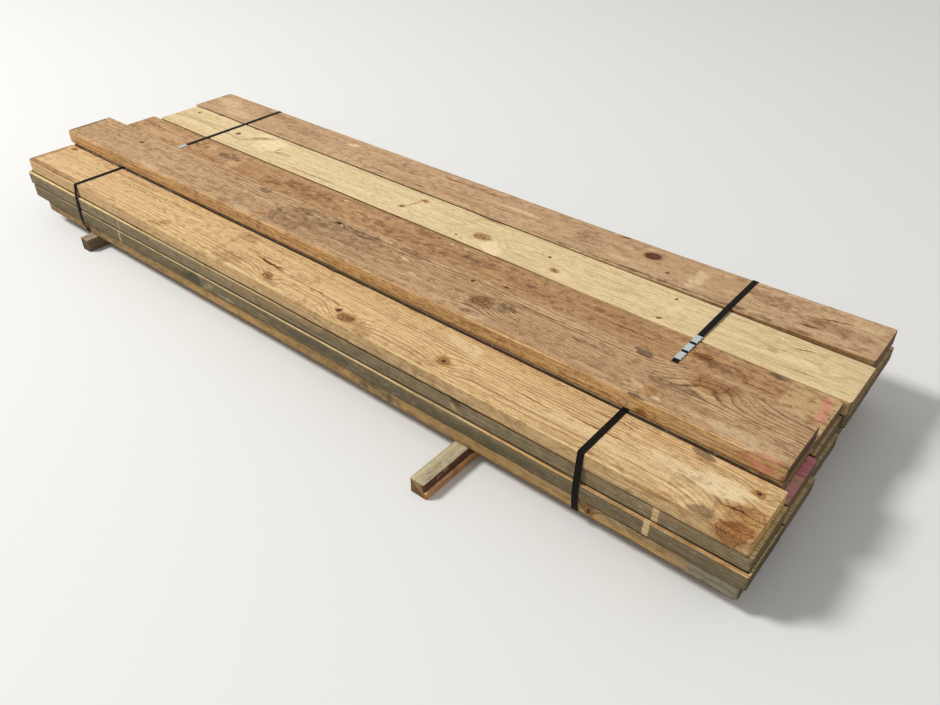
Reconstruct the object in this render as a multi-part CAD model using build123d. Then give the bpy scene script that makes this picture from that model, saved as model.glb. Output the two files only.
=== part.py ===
# Strapped stack of sawn pine boards on two bearers, with one loose board lying on top.
# Millimetres. +X runs along the boards, +Y from the near side to the far side, +Z up.
# The pieces are laid out from the stack's own corner: X = 0 at the nominal left end,
# Y = 0 at the nominal near face, Z = 0 on the floor. Then all are shifted together so
# that the origin lies on the floor under the middle of the whole stack's box.
from build123d import *
import os
from math import atan2, cos, degrees, sin, sqrt

# boards
stack_length = 3020.0      # nominal: each board's ends stand a little past it or short of it
board_width = 198.0
board_thickness = 50.0
edge_radius = 4.0          # eased long edges
loose_edge_radius = 5.0    # the loose board's edges are more worn
column_count = 5

# bearers
bearer_height = 50.0
bearer_length = 1200.0
left_bearer_width = 47.0
groove_setback = 14.0           # left bearer's left face to the groove along its top
groove_width = 3.0
groove_depth = 3.0
right_bearer_width = 57.0
right_bearer_rebate = 8.0       # how far the upper part stands back from the ledge
right_bearer_ledge_height = 23.0
left_bearer_near_end = -44.0    # Y of its near end
right_bearer_near_end = -182.0
right_bearer_setback = 827.0    # the stack's nominal right end to the bearer's left face

# straps and seals
strap_width = 19.0
strap_thickness = 1.0
strap_clearance = 0.2      # between a strap and the boards' faces
left_strap_x = 317.0         # the stack's nominal left end to the strap's middle
right_strap_setback = 429.0  # the nominal right end to the other strap's middle
bearer_strap_gap = 5.0     # the left bearer's face to the left strap's edge
seal_length = 37.0
seal_wall = 1.0
seal_clearance = 0.2       # between a seal and the strap it closes
seal_pitch = 49.0          # from one seal to the next on the right strap
seal_notch_radius = 3.0
seal_notch_spacing = 18.0
left_seal_distance = 77.0  # loose board's far face to the middle of the left strap's seal
right_seal_distance = 97.0 # the same to the right strap's first seal
right_seal_count = 3

# layers from the bottom up: Y of the near face at the left and at the right end
layer_near_left = [2.0, -11.0, -9.0, 2.0]
layer_near_right = [0.0, -6.0, 4.0, -2.0]

# gaps between neighbouring boards in each layer, near side first
layer_gaps = [
    [3.0, 2.0, 4.0, 3.0],
    [2.0, 4.0, 3.0, 3.0],
    [3.0, 3.0, 12.0, 2.0],
    [3.0, 4.0, 3.0, 4.0],
]

# how far each board stands past the nominal left end and right end, near side first
left_overhangs = [
    [-22.0, 12.0, -14.0, 20.0, 6.0],
    [34.0, 8.0, 26.0, -10.0, 30.0],
    [52.0, 20.0, 42.0, -2.0, 34.0],
    [46.0, 50.0, 70.0, 30.0, 50.0],
]
right_overhangs = [
    [10.0, 2.0, -2.0, -10.0, -10.0],
    [22.0, 21.0, 8.0, 0.0, -6.0],
    [16.0, 11.0, 1.0, 13.0, 12.0],
    [5.0, -14.0, -9.0, 8.0, 1.0],
]

# the far board of the top layer bows up over this length at its right end
bow_length = 1271.0
bow_rise = 16.0
strap_lift_gap = 12.0      # loose board's far edge to where the right strap starts to climb

# loose board, lying on the straps
loose_setback = 6.0        # its near face behind the first column's far face
loose_left_overhang = 75.0
loose_right_overhang = -12.0
loose_skew = 0.03          # degrees

loose_near_y = board_width + loose_setback
loose_far_y = loose_near_y + board_width
bow_radius = (bow_length ** 2 + bow_rise ** 2) / (2 * bow_rise)
layer_count = len(layer_near_left)
top_layer = layer_count - 1
top_z = bearer_height + layer_count * board_thickness
strap_top_z = top_z + strap_clearance + strap_thickness
right_strap_x = stack_length - right_strap_setback


def layer_skew(layer):
    # angle of a whole layer about Z, in degrees
    return degrees(atan2(layer_near_right[layer] - layer_near_left[layer], stack_length))


def near_face(layer, x):
    # Y of a layer's near face at x
    share = x / stack_length
    return layer_near_left[layer] * (1 - share) + layer_near_right[layer] * share


def board_offset(layer, column):
    # how far a board's near face lies behind its layer's near face
    return column * board_width + sum(layer_gaps[layer][:column])


def bow_height(x):
    # how far the bowed board is lifted at x
    bow_start_x = stack_length + right_overhangs[top_layer][-1] - bow_length
    reach = max(0.0, x - bow_start_x)
    return bow_radius - sqrt(bow_radius ** 2 - reach ** 2)


def straight_board(left_x, right_x, radius):
    body = Pos(left_x, 0, 0) * Box(
        right_x - left_x, board_width, board_thickness, align=(Align.MIN, Align.MIN, Align.MIN)
    )
    return fillet(body.edges().filter_by(Axis.X), radius)


def bowed_board(left_x, right_x, radius):
    # flat from its left end to where the bow starts, then part of a wide arc upwards
    outer = bow_radius
    inner = outer - board_thickness
    bow_start_x = right_x - bow_length
    turn = atan2(bow_length, outer - bow_rise)

    def arc_point(arc_radius, angle):
        return (bow_start_x + arc_radius * sin(angle), outer - arc_radius * cos(angle))

    outline = [
        Line((left_x, 0), (bow_start_x, 0)),
        ThreePointArc((bow_start_x, 0), arc_point(outer, turn / 2), arc_point(outer, turn)),
        Line(arc_point(outer, turn), arc_point(inner, turn)),
        ThreePointArc(arc_point(inner, turn), arc_point(inner, turn / 2), (bow_start_x, board_thickness)),
        Line((bow_start_x, board_thickness), (left_x, board_thickness)),
        Line((left_x, board_thickness), (left_x, 0)),
    ]
    body = extrude(Plane.XZ * make_face(outline), amount=-board_width)
    long_edges = body.edges().filter_by(lambda edge: edge.length > board_width * 2)
    return fillet(long_edges, radius)


def layer_boards(layer):
    # the boards of one layer, turned together so that they never overlap
    pieces = {}
    place = Pos(0, near_face(layer, 0), bearer_height + layer * board_thickness) * Rot(0, 0, layer_skew(layer))
    for column in range(column_count):
        left_x = -left_overhangs[layer][column]
        right_x = stack_length + right_overhangs[layer][column]
        bowed = layer == top_layer and column == column_count - 1
        make_board = bowed_board if bowed else straight_board
        body = place * Pos(0, board_offset(layer, column), 0) * make_board(left_x, right_x, edge_radius)
        pieces[f"layer_{layer + 1}_board_{column + 1}"] = body
    return pieces


def loose_board():
    right_x = stack_length + loose_right_overhang
    body = straight_board(-loose_left_overhang, right_x, loose_edge_radius)
    return Pos(0, loose_near_y, strap_top_z) * Rot(0, 0, loose_skew) * body


def convex_outline(points):
    # corners of the tightest outline round a set of points, counter-clockwise
    ordered = sorted(points)

    def half(run):
        kept = []
        for point in run:
            while len(kept) > 1:
                (ax, ay), (bx, by) = kept[-2], kept[-1]
                if (bx - ax) * (point[1] - ay) - (by - ay) * (point[0] - ax) > 1e-6:
                    break
                kept.pop()
            kept.append(point)
        return kept[:-1]

    return half(ordered) + half(ordered[::-1])


def climb(x):
    # the strap's climb to the bowed board: Y where it starts, Y where it ends, its height
    rise = bow_height(x)
    start = loose_far_y + strap_lift_gap
    end = near_face(top_layer, x) + board_offset(top_layer, column_count - 1)
    return start, end, rise


def strap(x):
    # one band pulled tight round the four layers
    corners = []
    for layer in range(layer_count):
        low = bearer_height + layer * board_thickness
        near = near_face(layer, x)
        far = near + board_offset(layer, column_count - 1) + board_width
        corners += [(near, low), (near, low + board_thickness), (far, low), (far, low + board_thickness)]
    top_far = corners[-1]
    outline = convex_outline(corners)
    start, end, rise = climb(x)
    if rise:
        at = outline.index(top_far)
        outline[at:at + 1] = [(top_far[0], top_z + rise), (end, top_z + rise), (start, top_z)]
    tight = make_face(Polyline(*outline, close=True))
    core = offset(tight, amount=-edge_radius)
    inside = offset(core, amount=edge_radius + strap_clearance)
    outside = offset(core, amount=edge_radius + strap_clearance + strap_thickness)
    band = extrude(Plane.YZ * (outside - inside), amount=strap_width)
    return Pos(x - strap_width / 2, 0, 0) * band


def seal(x, y):
    # a folded metal sleeve over the strap, notched on both sides
    inner_width = strap_width + 2 * seal_clearance
    outer_width = inner_width + 2 * seal_wall
    inner_height = strap_clearance + strap_thickness + seal_clearance
    low = (Align.CENTER, Align.CENTER, Align.MIN)
    body = Box(outer_width, seal_length, inner_height + seal_wall, align=low)
    body -= Box(inner_width, seal_length, inner_height, align=low)
    notch = Cylinder(seal_notch_radius, inner_height + seal_wall, align=low)
    for side in (-1, 1):
        for end in (-1, 1):
            body -= Pos(side * (outer_width / 2 + seal_notch_radius / 3), end * seal_notch_spacing / 2, 0) * notch
    start, end, rise = climb(x)
    slope = rise / (end - start)
    height = top_z + slope * max(0.0, y - start)
    return Pos(x, y, height) * Rot(degrees(atan2(slope, 1)), 0, 0) * body


def left_bearer():
    # nearly square batten with a narrow groove along its top
    groove_end = groove_setback + groove_width
    groove_floor = bearer_height - groove_depth
    outline = [(0, 0), (left_bearer_width, 0), (left_bearer_width, bearer_height)]
    outline += [(groove_end, bearer_height), (groove_end, groove_floor), (groove_setback, groove_floor)]
    outline += [(groove_setback, bearer_height), (0, bearer_height)]
    body = extrude(Plane.XZ * make_face(Polyline(*outline, close=True)), amount=-bearer_length)
    x = left_strap_x + strap_width / 2 + bearer_strap_gap
    return Pos(x, left_bearer_near_end, 0) * body


def right_bearer():
    # batten with a rebate along its right side, which leaves a ledge
    width, ledge = right_bearer_width, right_bearer_ledge_height
    upper = width - right_bearer_rebate
    outline = [(0, 0), (width, 0), (width, ledge), (upper, ledge), (upper, bearer_height), (0, bearer_height)]
    body = extrude(Plane.XZ * make_face(Polyline(*outline, close=True)), amount=-bearer_length)
    return Pos(stack_length - right_bearer_setback, right_bearer_near_end, 0) * body


pieces = {}
for layer in range(layer_count):
    pieces.update(layer_boards(layer))
pieces["loose_board"] = loose_board()
pieces["left_bearer"] = left_bearer()
pieces["right_bearer"] = right_bearer()
pieces["left_strap"] = strap(left_strap_x)
pieces["right_strap"] = strap(right_strap_x)
pieces["left_seal"] = seal(left_strap_x, loose_far_y + left_seal_distance)
for number in range(right_seal_count):
    y = loose_far_y + right_seal_distance + number * seal_pitch
    pieces[f"right_seal_{number + 1}"] = seal(right_strap_x, y)

boxes = [piece.bounding_box() for piece in pieces.values()]
middle_x = (min(box.min.X for box in boxes) + max(box.max.X for box in boxes)) / 2
middle_y = (min(box.min.Y for box in boxes) + max(box.max.Y for box in boxes)) / 2
shift = Pos(-middle_x, -middle_y, 0)
print("middle of the layout", round(middle_x, 3), round(middle_y, 3))

os.makedirs("parts", exist_ok=True)
for name, piece in pieces.items():
    export_step(shift * piece, f"parts/{name}.step")
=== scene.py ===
import functools
import math

import bmesh
import bpy
import numpy as np
from mathutils import Matrix


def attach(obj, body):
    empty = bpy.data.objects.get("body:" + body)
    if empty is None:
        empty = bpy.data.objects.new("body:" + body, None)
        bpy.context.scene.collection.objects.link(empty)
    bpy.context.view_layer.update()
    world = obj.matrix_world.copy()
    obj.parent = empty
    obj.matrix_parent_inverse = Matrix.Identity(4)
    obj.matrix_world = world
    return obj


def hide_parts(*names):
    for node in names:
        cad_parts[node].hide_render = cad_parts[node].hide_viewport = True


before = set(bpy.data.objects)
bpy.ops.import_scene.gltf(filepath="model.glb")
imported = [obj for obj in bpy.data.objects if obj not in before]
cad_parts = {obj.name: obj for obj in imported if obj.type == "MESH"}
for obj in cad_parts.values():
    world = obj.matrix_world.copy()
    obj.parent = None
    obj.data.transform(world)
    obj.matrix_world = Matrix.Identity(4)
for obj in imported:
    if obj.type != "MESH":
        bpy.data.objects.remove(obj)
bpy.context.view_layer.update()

print("frame loaded:", len(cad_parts), "nodes")

# Shapes are worked out in millimetres in the stack's own layout: X along the boards from their
# nominal left end, Y from the near face to the far side, Z up from the floor. A mesh is moved to
# the row frame (origin on the floor under the stack's middle) and turned to metres when it is made.
layout = {
    "middleX": 1483.446,
    "middleY": 487.0,
    "stackLength": 3020.0,
    "bearerHeight": 50.0,
    "layerHeight": 50.0,
    "layers": 4,
    "columns": 5,
}


# Shared tools

def hexColour(code):
    # an sRGB hex colour turned to Blender's linear RGBA
    parts = [int(code[i:i + 2], 16) / 255 for i in (1, 3, 5)]
    linear = [p / 12.92 if p <= 0.04045 else ((p + 0.055) / 1.055) ** 2.4 for p in parts]
    return (*linear, 1.0)


def shadeOf(dark, base):
    # the colour that turns base into dark when it is multiplied over it
    return (*(min(1.0, d / b) for d, b in zip(hexColour(dark)[:3], hexColour(base)[:3])), 1.0)


def addNode(tree, kind, inputs=None, ramp=None, **settings):
    # one shader node: settings are its own properties; inputs its sockets by name or number, each
    # a value, a socket, or another node, whose first live output is taken; ramp a list of
    # (position, colour)
    node = tree.nodes.new("ShaderNode" + kind)
    for key, value in settings.items():
        setattr(node, key, value)
    for key, value in (inputs or {}).items():
        if isinstance(key, int):
            socket = node.inputs[key]
        else:
            socket = next(s for s in node.inputs if s.enabled and s.name == key)
        if isinstance(value, bpy.types.Node):
            value = next(s for s in value.outputs if s.enabled)
        if isinstance(value, bpy.types.NodeSocket):
            tree.links.new(value, socket)
        else:
            socket.default_value = value
    if ramp:
        elements = node.color_ramp.elements
        elements[0].position, elements[0].color = ramp[0]
        elements[1].position, elements[1].color = ramp[-1]
        for position, colour in ramp[1:-1]:
            elements.new(position).color = colour
    return node


def newMaterial(name):
    # an empty material, and the function that adds nodes to it
    material = bpy.data.materials.new(name)
    material.use_nodes = True
    material.node_tree.nodes.clear()
    return material, functools.partial(addNode, material.node_tree)


def waves(x, y, seed, longest, count=7, stretch=1.0):
    # a smooth random surface, mostly from -1 to 1: a sum of sine waves that run in seeded
    # directions, each shorter and lower than the one before; stretch makes them longer along x
    shorter, lower, gain = 1.55, 0.78, 1.6
    rng = np.random.default_rng(seed)
    total = np.zeros(np.broadcast(x, y).shape)
    reach = 0.0
    for k in range(count):
        length = longest / shorter ** k
        angle = rng.uniform(0, 2 * math.pi)
        phase = rng.uniform(0, 2 * math.pi)
        height = lower ** k
        run = x * math.cos(angle) / stretch + y * math.sin(angle)
        total += height * np.sin(2 * math.pi * run / length + phase)
        reach += height
    return total / reach * gain


def softStep(x, low, high):
    # 0 below low, 1 above high, and a smooth S between them
    t = np.clip((x - low) / (high - low), 0, 1)
    return t * t * (3 - 2 * t)


def turned(x, y, degrees):
    # places measured along and across a direction that is turned from x towards y
    angle = math.radians(degrees)
    along = x * math.cos(angle) + y * math.sin(angle)
    return along, -x * math.sin(angle) + y * math.cos(angle)


def meshObject(name, points, faces):
    # points in layout millimetres and faces as corner numbers become an object in metres
    places = np.asarray(points, float) - (layout["middleX"], layout["middleY"], 0.0)
    mesh = bpy.data.meshes.new(name)
    mesh.from_pydata((places / 1000).tolist(), [], faces)
    thing = bpy.data.objects.new(name, mesh)
    bpy.context.scene.collection.objects.link(thing)
    return thing


def finishMesh(thing, sharpAngle=38.0):
    # merges doubled points, turns all faces outwards and smooths the shading, but keeps edges over
    # sharpAngle degrees crisp
    mesh = thing.data
    work = bmesh.new()
    work.from_mesh(mesh)
    bmesh.ops.remove_doubles(work, verts=work.verts, dist=1e-6)
    bmesh.ops.dissolve_degenerate(work, dist=1e-7, edges=work.edges)
    bmesh.ops.recalc_face_normals(work, faces=work.faces)
    work.to_mesh(mesh)
    work.free()
    mesh.shade_smooth()
    mesh.set_sharp_from_angle(angle=math.radians(sharpAngle))
    mesh.validate()


def gridFaces(rows, columns, closedRows=False):
    # four-sided faces of a grid of points that closes round its columns, and round its rows too
    # where closedRows is set
    i = np.arange(rows if closedRows else rows - 1)[:, None]
    j = np.arange(columns)[None, :]
    nextI, nextJ = (i + 1) % rows, (j + 1) % columns
    corners = (i * columns + j, i * columns + nextJ, nextI * columns + nextJ, nextI * columns + j)
    return np.stack(np.broadcast_arrays(*corners), -1).reshape(-1, 4).tolist()


def endFaces(rows, columns):
    # one flat face over the first row of such a grid and one over its last
    last = (rows - 1) * columns
    return [list(range(columns)), list(range(last, last + columns))[::-1]]


def putAttribute(mesh, name, kind, values):
    # gives every point of the mesh a value, a vector or a colour for its material to read
    field = {"FLOAT": "value", "FLOAT_VECTOR": "vector", "FLOAT_COLOR": "color"}[kind]
    layer = mesh.attributes.new(name, kind, "POINT")
    layer.data.foreach_set(field, np.ascontiguousarray(values, dtype=np.float32).ravel())


def putPineAttributes(mesh, grain, bulge, marks, tone, arris):
    # what sawnPine reads at each point: its place in the log, how far knots push the rings out,
    # four marks' strengths, and the wood's colour with how far round an edge the point lies
    putAttribute(mesh, "grain", "FLOAT_VECTOR", grain)
    putAttribute(mesh, "bulge", "FLOAT", bulge)
    putAttribute(mesh, "marks", "FLOAT_COLOR", marks)
    putAttribute(mesh, "tone", "FLOAT_COLOR", np.concatenate([tone, arris[..., None]], -1))


# Boards

# Sizes of every board, as in the solids.
boardSize = {
    "width": 198.0,
    "thickness": 50.0,
    "edgeRadius": 4.0,
    "looseEdgeRadius": 5.0,
    "looseLeftOverhang": 75.0,
    "looseRightOverhang": -12.0,
    "looseNearY": 204.0,
    "looseSkew": 0.03,             # degrees
    "looseZ": 251.2,
    "bowLength": 1271.0,           # the far top board bows up over this length at its right end
    "bowRise": 16.0,
    "bowOpens": (250.0, 800.0),    # row X over which that lift opens the joint beside it
}
bowRadius = (boardSize["bowLength"] ** 2 + boardSize["bowRise"] ** 2) / (2 * boardSize["bowRise"])

# For each layer from the bottom up: Y of its near face at the left and at the right end, then the
# gaps between its boards and how far each stands past the nominal ends, near side first.
nearLeft = [2.0, -11.0, -9.0, 2.0]
nearRight = [0.0, -6.0, 4.0, -2.0]
layerGaps = [[3, 2, 4, 3], [2, 4, 3, 3], [3, 3, 12, 2], [3, 4, 3, 4]]
leftOverhangs = [[-22, 12, -14, 20, 6], [34, 8, 26, -10, 30], [52, 20, 42, -2, 34], [46, 50, 70, 30, 50]]
rightOverhangs = [[10, 2, -2, -10, -10], [22, 21, 8, 0, -6], [16, 11, 1, 13, 12], [5, -14, -9, 8, 1]]

# How finely a board is drawn: points across and up its faces and round each edge, millimetres
# between stations, and how many nicks it has. Only boards that show their face are fine.
boardDetail = {
    "fine": {"across": 30, "up": 8, "round": 5, "step": 8.0, "nicks": 9},
    "coarse": {"across": 12, "up": 6, "round": 5, "step": 15.0, "nicks": 4},
}

# How far the sawn faces are worn, in millimetres.
boardWear = {
    "grain": 0.16,              # by fine waves along the grain
    "hollow": 0.35,             # in the middle of the flat faces
    "edge": 0.35,               # on the narrow faces
    "arris": 0.5,               # on the rounded edges
    "end": 0.9,                 # at the ends, fading over endReach
    "endReach": 9.0,
    "endBevel": 1.2,            # how far the sawn ends' arrises are worn back
    "endRoughness": 0.35,
    "nickLength": (6, 26),
    "nickDepth": (0.6, 2.2),
    "nickWidth": 7.0,
    "most": 3.2,
}

# Points over a sawn end: how far the section is drawn in at each step towards the end's middle
# line, then distances from the bevel along the board, and where the even stations begin.
endSteps = {"inwards": [19.0, 13.0, 8.0, 4.0], "along": [0.0, 1.5, 3.5, 6.5], "even": 10.0}

# Painted shade in the joints, where rounded edges meet: the heights on a narrow face between which it
# fades, how far it reaches past a neighbour's end and fades there, and what it leaves of the wood's
# red, green and blue.
paintedJointShadeLook = {"low": (2.0, 5.5), "past": 2.0, "fade": 6.0, "shade": (0.12, 0.09, 0.07)}

# How each kind of pine looks, as sRGB colours. spring is the palest wood of the top face and side
# that of the edges; weather is the darkest that spring gets by grain, dirt and weathering, smudge
# the grey dirt on it and summer the rings' dark lines. ring is a year's growth in millimetres.
# lines, brown and mottle are how strongly rings, brown blotches and fine mottling show.
woods = {
    "pine_tan": {
        "spring": "#efce97", "side": "#d4b684", "weather": "#a67a4b", "summer": "#9f7142",
        "smudge": "#84694a", "ring": 7.4, "lines": 0.85, "brown": 0.25, "mottle": 0.5,
    },
    "pine_grey_brown": {
        "spring": "#d7b286", "side": "#dab178", "weather": "#855e3a", "summer": "#7d5936",
        "smudge": "#664f3a", "ring": 6.6, "lines": 1.0, "brown": 0.5, "mottle": 0.6,
    },
    "pine_brown": {
        "spring": "#d0a677", "side": "#a98560", "weather": "#815630", "summer": "#805a38",
        "smudge": "#6b5741", "ring": 5.6, "lines": 0.8, "brown": 0.6, "mottle": 0.8,
    },
    "pine_pale": {
        "spring": "#f0d9a9", "side": "#c8ae7e", "weather": "#bb9c6c", "summer": "#b79a68",
        "smudge": "#78633f", "ring": 6.4, "lines": 0.55, "brown": 0.1, "mottle": 0.25,
    },
    "pine_rosy": {
        "spring": "#dab78e", "side": "#a5865c", "weather": "#936a43", "summer": "#97714f",
        "smudge": "#65503c", "ring": 6.0, "lines": 0.7, "brown": 0.5, "mottle": 0.6,
    },
    "pine_grey_green": {
        "spring": "#ddc492", "side": "#908163", "weather": "#a0865a", "summer": "#977a4e",
        "smudge": "#58503a", "ring": 7.0, "lines": 1.0, "brown": 0.4, "mottle": 0.4,
    },
    "pine_golden": {
        "spring": "#cfac74", "side": "#bc9862", "weather": "#83683f", "summer": "#8a683a",
        "smudge": "#5d5238", "ring": 7.0, "lines": 1.0, "brown": 0.4, "mottle": 0.5,
    },
}

# What knots and cracks do to the wood's colour, which is multiplied by these from the middle (0)
# over the knot's outline (1) to where it ends. ring is a sound knot with its own rings, eye one
# with a small dark heart, dark one that is black-brown right through, swirl wood that grew over a
# knot, burl the same in red-brown, hole a pin knot, and crack a fine check.
knotTints = {
    "ring": [
        (0.0, "#a88d76"), (0.2, "#dcc4a8"), (0.34, "#a58a74"), (0.5, "#a0846d"), (0.64, "#dac3a8"),
        (0.84, "#c9b096"), (0.97, "#7f685b"), (1.08, "#e6d8c7"), (1.24, "#cdbba8"), (1.4, "#f7efe4"),
        (2.0, "#ffffff"),
    ],
    "eye": [
        (0.0, "#3a2b22"), (0.38, "#5c483b"), (0.5, "#b59d86"), (0.7, "#d9c4ac"), (0.9, "#8f7562"),
        (1.05, "#e2d0bb"), (1.3, "#dcc8b0"), (1.5, "#fbf5ea"), (2.0, "#ffffff"),
    ],
    "dark": [
        (0.0, "#6a4f40"), (0.35, "#826455"), (0.7, "#6d5142"), (0.95, "#5d4436"), (1.1, "#b49c86"),
        (1.35, "#ecdfcf"), (1.9, "#ffffff"),
    ],
    "swirl": [
        (0.0, "#c9ad94"), (0.18, "#ecdcc6"), (0.3, "#cdb298"), (0.4, "#f0e2cf"), (0.52, "#b79c86"),
        (0.6, "#eadac4"), (0.76, "#d9c4ac"), (0.84, "#f1e5d2"), (0.94, "#a48a76"), (1.02, "#e9d8c2"),
        (1.5, "#fcf6ec"), (2.0, "#ffffff"),
    ],
    "burl": [
        (0.0, "#b58f76"), (0.16, "#d9bfa3"), (0.3, "#a9836b"), (0.42, "#d8bca0"), (0.54, "#b18b73"),
        (0.66, "#dcc3a8"), (0.78, "#b28d75"), (0.9, "#dcc2a8"), (1.0, "#9c7a65"), (1.12, "#e6d2bb"),
        (1.6, "#ffffff"),
    ],
    "hole": [(0.0, "#30241c"), (0.5, "#4f3c31"), (0.9, "#ac937c"), (1.2, "#e2d2bd"), (1.7, "#ffffff")],
    "crack": [(0.0, "#7a6050"), (0.5, "#9b806c"), (1.0, "#dcc9b4"), (1.5, "#ffffff")],
}

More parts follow.
